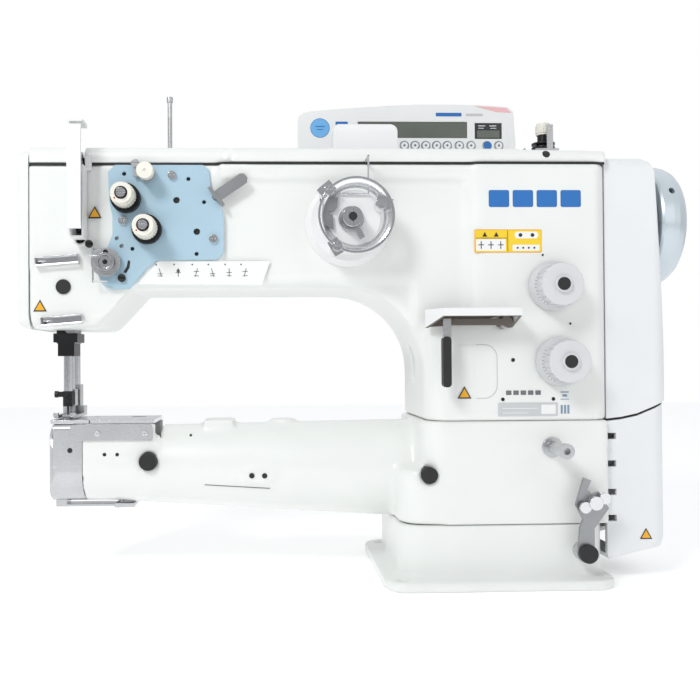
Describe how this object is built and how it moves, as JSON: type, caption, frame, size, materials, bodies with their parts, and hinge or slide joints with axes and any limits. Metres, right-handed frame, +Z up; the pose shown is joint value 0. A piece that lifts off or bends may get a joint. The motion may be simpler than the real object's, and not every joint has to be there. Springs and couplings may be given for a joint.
{
  "type": "leather sewing machine",
  "caption": "Long-arm cylinder-bed leather sewing machine with walking foot, side handwheel, bobbin winder and operation panel on a flanged pedestal.",
  "frame": {"origin": "centre of the four base bolts, on the underside of the flange", "axes": "+X along the arm towards the handwheel, +Y away from the operator, +Z up"},
  "size_m": [0.6126, 0.215, 0.4719],
  "materials": {
    "cast_white": "gloss paint on cast iron",
    "white_plastic": "satin",
    "pale_wheel": "gloss",
    "blue_plate": "satin",
    "bright_steel": "polished",
    "grey_steel": "brushed",
    "cream_plastic": "satin",
    "black_steel": "black oxide",
    "black_rubber": "matte",
    "screen": "glass window over a display",
    "bronze": "machined"
  },
  "bodies": {
    "machine_frame": {"base_pedestal": "cast_white", "bed_casting": "cast_white", "arm_casting": "cast_white", "head_face_plate": "cast_white", "top_cover": "cast_white", "winder_dome": "white_plastic", "take_up_guard": "white_plastic", "tension_plate": "blue_plate", "thread_guides": "bright_steel", "check_spring_unit": "grey_steel", "tension_studs": "bright_steel", "pretension_guide": "bright_steel", "thread_antenna": "bright_steel", "winder_tension_post": "bright_steel", "panel_bracket": "grey_steel", "panel_housing": "white_plastic", "panel_screen": "screen", "winder_plate": "white_plastic", "winder_ring": "bright_steel", "lever_hood": "white_plastic", "side_cover_upper": "white_plastic", "side_cover_lower": "white_plastic", "cover_seal": "black_rubber", "black_plugs_and_screws": "black_rubber", "lock_studs": "bright_steel", "timing_belt": "black_rubber", "bobbin_case": "bright_steel", "pins_and_bushings": "bronze", "needle_plate": "bright_steel", "bed_plates": "bright_steel", "cross_screws": "bright_steel"},
    "tension_knob_upper_body": {"tension_knob_upper": "cream_plastic"},
    "tension_knob_lower_body": {"tension_knob_lower": "cream_plastic"},
    "release_lever_body": {"release_lever": "grey_steel"},
    "winder_tension_knob_body": {"winder_tension_knob": "cream_plastic"},
    "winder_spindle_body": {"winder_spindle": "bright_steel"},
    "winder_trip_lever_body": {"winder_trip_lever": "grey_steel"},
    "reverse_lever_body": {"reverse_lever": "black_steel"},
    "stitch_dial_body": {"stitch_dial": "white_plastic"},
    "alternate_dial_body": {"alternate_dial": "white_plastic"},
    "lock_plate_body": {"lock_plate": "grey_steel"},
    "wing_bolt_body": {"wing_bolt": "bright_steel"},
    "lower_shaft_body": {"lower_shaft": "bright_steel"},
    "hook_body": {"hook": "bright_steel"},
    "bobbin_body": {"bobbin": "bright_steel"},
    "needle_link_body": {"needle_link": "bright_steel"},
    "take_up_lever_body": {"take_up_lever": "bright_steel"},
    "rocker_frame_body": {"rocker_frame": "black_steel"},
    "slide_plate_body": {"slide_plate": "bright_steel"},
    "bed_end_cover_body": {"bed_end_cover": "bright_steel"},
    "upper_shaft_body": {"main_shaft": "bright_steel", "handwheel": "pale_wheel"},
    "needle_bar_body": {"needle_bar": "bright_steel", "needle_clamp": "black_steel"},
    "walking_bar_body": {"walking_bar": "bright_steel", "walking_foot": "bright_steel"},
    "presser_bar_body": {"presser_bar": "bright_steel", "presser_foot": "bright_steel"},
    "feed_body": {"feed_bar": "bright_steel", "feed_dog": "bright_steel"}
  },
  "joints": [
    {"name": "handwheel_turn", "type": "hinge", "parent": "machine_frame", "child": "upper_shaft_body", "pos_m": [0, 0, 0.329], "axis": [1, 0, 0], "continuous": true},
    {"name": "lower_shaft_turn", "type": "hinge", "parent": "machine_frame", "child": "lower_shaft_body", "pos_m": [0, 0, 0.097], "axis": [1, 0, 0], "continuous": true},
    {"name": "hook_turn", "type": "hinge", "parent": "machine_frame", "child": "hook_body", "pos_m": [-0.369, 0, 0], "axis": [0, 0, 1], "continuous": true},
    {"name": "bobbin_turn", "type": "hinge", "parent": "machine_frame", "child": "bobbin_body", "pos_m": [-0.369, 0, 0], "axis": [0, 0, 1], "continuous": true},
    {"name": "needle_link_turn", "type": "hinge", "parent": "upper_shaft_body", "child": "needle_link_body", "pos_m": [0, 0, 0.3125], "axis": [1, 0, 0], "continuous": true},
    {"name": "take_up_swing", "type": "hinge", "parent": "machine_frame", "child": "take_up_lever_body", "pos_m": [0, -0.024, 0.34], "axis": [1, 0, 0], "range_deg": [0, 65]},
    {"name": "rocker_swing", "type": "hinge", "parent": "machine_frame", "child": "rocker_frame_body", "pos_m": [0, 0.003, 0.362], "axis": [1, 0, 0], "range_deg": [-1.1, 1.1]},
    {"name": "feed_slide", "type": "slide", "parent": "machine_frame", "child": "feed_body", "axis": [0, 1, 0], "range_m": [-0.0042, 0.0042]},
    {"name": "needle_bar_slide", "type": "slide", "parent": "rocker_frame_body", "child": "needle_bar_body", "axis": [0, 0, 1], "range_m": [0, 0.033]},
    {"name": "walking_foot_lift", "type": "slide", "parent": "rocker_frame_body", "child": "walking_bar_body", "axis": [0, 0, 1], "range_m": [0, 0.006]},
    {"name": "presser_foot_lift", "type": "slide", "parent": "machine_frame", "child": "presser_bar_body", "axis": [0, 0, 1], "range_m": [0, 0.016], "stiffness_N_per_m": 800},
    {"name": "upper_tension_turn", "type": "hinge", "parent": "machine_frame", "child": "tension_knob_upper_body", "pos_m": [-0.3316, 0, 0.3443], "axis": [0, 1, 0], "range_deg": [-360, 360]},
    {"name": "lower_tension_turn", "type": "hinge", "parent": "machine_frame", "child": "tension_knob_lower_body", "pos_m": [-0.3132, 0, 0.3167], "axis": [0, 1, 0], "range_deg": [-360, 360]},
    {"name": "winder_tension_turn", "type": "hinge", "parent": "machine_frame", "child": "winder_tension_knob_body", "pos_m": [0.055, -0.026, 0], "axis": [0, 0, 1], "range_deg": [-360, 360]},
    {"name": "release_lever_swing", "type": "hinge", "parent": "machine_frame", "child": "release_lever_body", "pos_m": [-0.2525, 0, 0.3465], "axis": [0, 1, 0], "range_deg": [0, 25]},
    {"name": "winder_spindle_turn", "type": "hinge", "parent": "machine_frame", "child": "winder_spindle_body", "pos_m": [-0.1348, 0, 0.3224], "axis": [0, 1, 0], "continuous": true},
    {"name": "winder_trip_swing", "type": "hinge", "parent": "machine_frame", "child": "winder_trip_lever_body", "pos_m": [-0.1348, 0, 0.3224], "axis": [0, 1, 0], "range_deg": [0, 25]},
    {"name": "reverse_lever_press", "type": "hinge", "parent": "machine_frame", "child": "reverse_lever_body", "pos_m": [0.002, 0, 0.233], "axis": [0, -1, 0], "range_deg": [0, 12], "stiffness_Nm_per_rad": 3},
    {"name": "stitch_dial_turn", "type": "hinge", "parent": "machine_frame", "child": "stitch_dial_body", "pos_m": [0.0471, 0, 0.2652], "axis": [0, 1, 0], "range_deg": [-150, 150]},
    {"name": "alternate_dial_turn", "type": "hinge", "parent": "machine_frame", "child": "alternate_dial_body", "pos_m": [0.0528, 0, 0.1982], "axis": [0, 1, 0], "range_deg": [-150, 150]},
    {"name": "lock_plate_swing", "type": "hinge", "parent": "machine_frame", "child": "lock_plate_body", "pos_m": [0.071, 0, 0.0303], "axis": [0, -1, 0], "range_deg": [0, 45]},
    {"name": "wing_bolt_turn", "type": "hinge", "parent": "lock_plate_body", "child": "wing_bolt_body", "pos_m": [0.0765, 0, 0.075], "axis": [0, 1, 0], "range_deg": [-360, 360]},
    {"name": "slide_plate_pull", "type": "slide", "parent": "machine_frame", "child": "slide_plate_body", "axis": [1, 0, 0], "range_m": [0, 0.04]},
    {"name": "end_cover_swing", "type": "hinge", "parent": "machine_frame", "child": "bed_end_cover_body", "pos_m": [-0.35, 0, 0.0648], "axis": [0, -1, 0], "range_deg": [0, 60]}
  ],
  "couplings": [
    {"joint": "lower_shaft_turn", "follows": "handwheel_turn", "ratio": 1},
    {"joint": "hook_turn", "follows": "handwheel_turn", "ratio": -2},
    {"joint": "needle_link_turn", "follows": "handwheel_turn", "ratio": -1},
    {"joint": "feed_slide", "follows": "rocker_swing", "m_per_rad": 0.215}
  ]
}
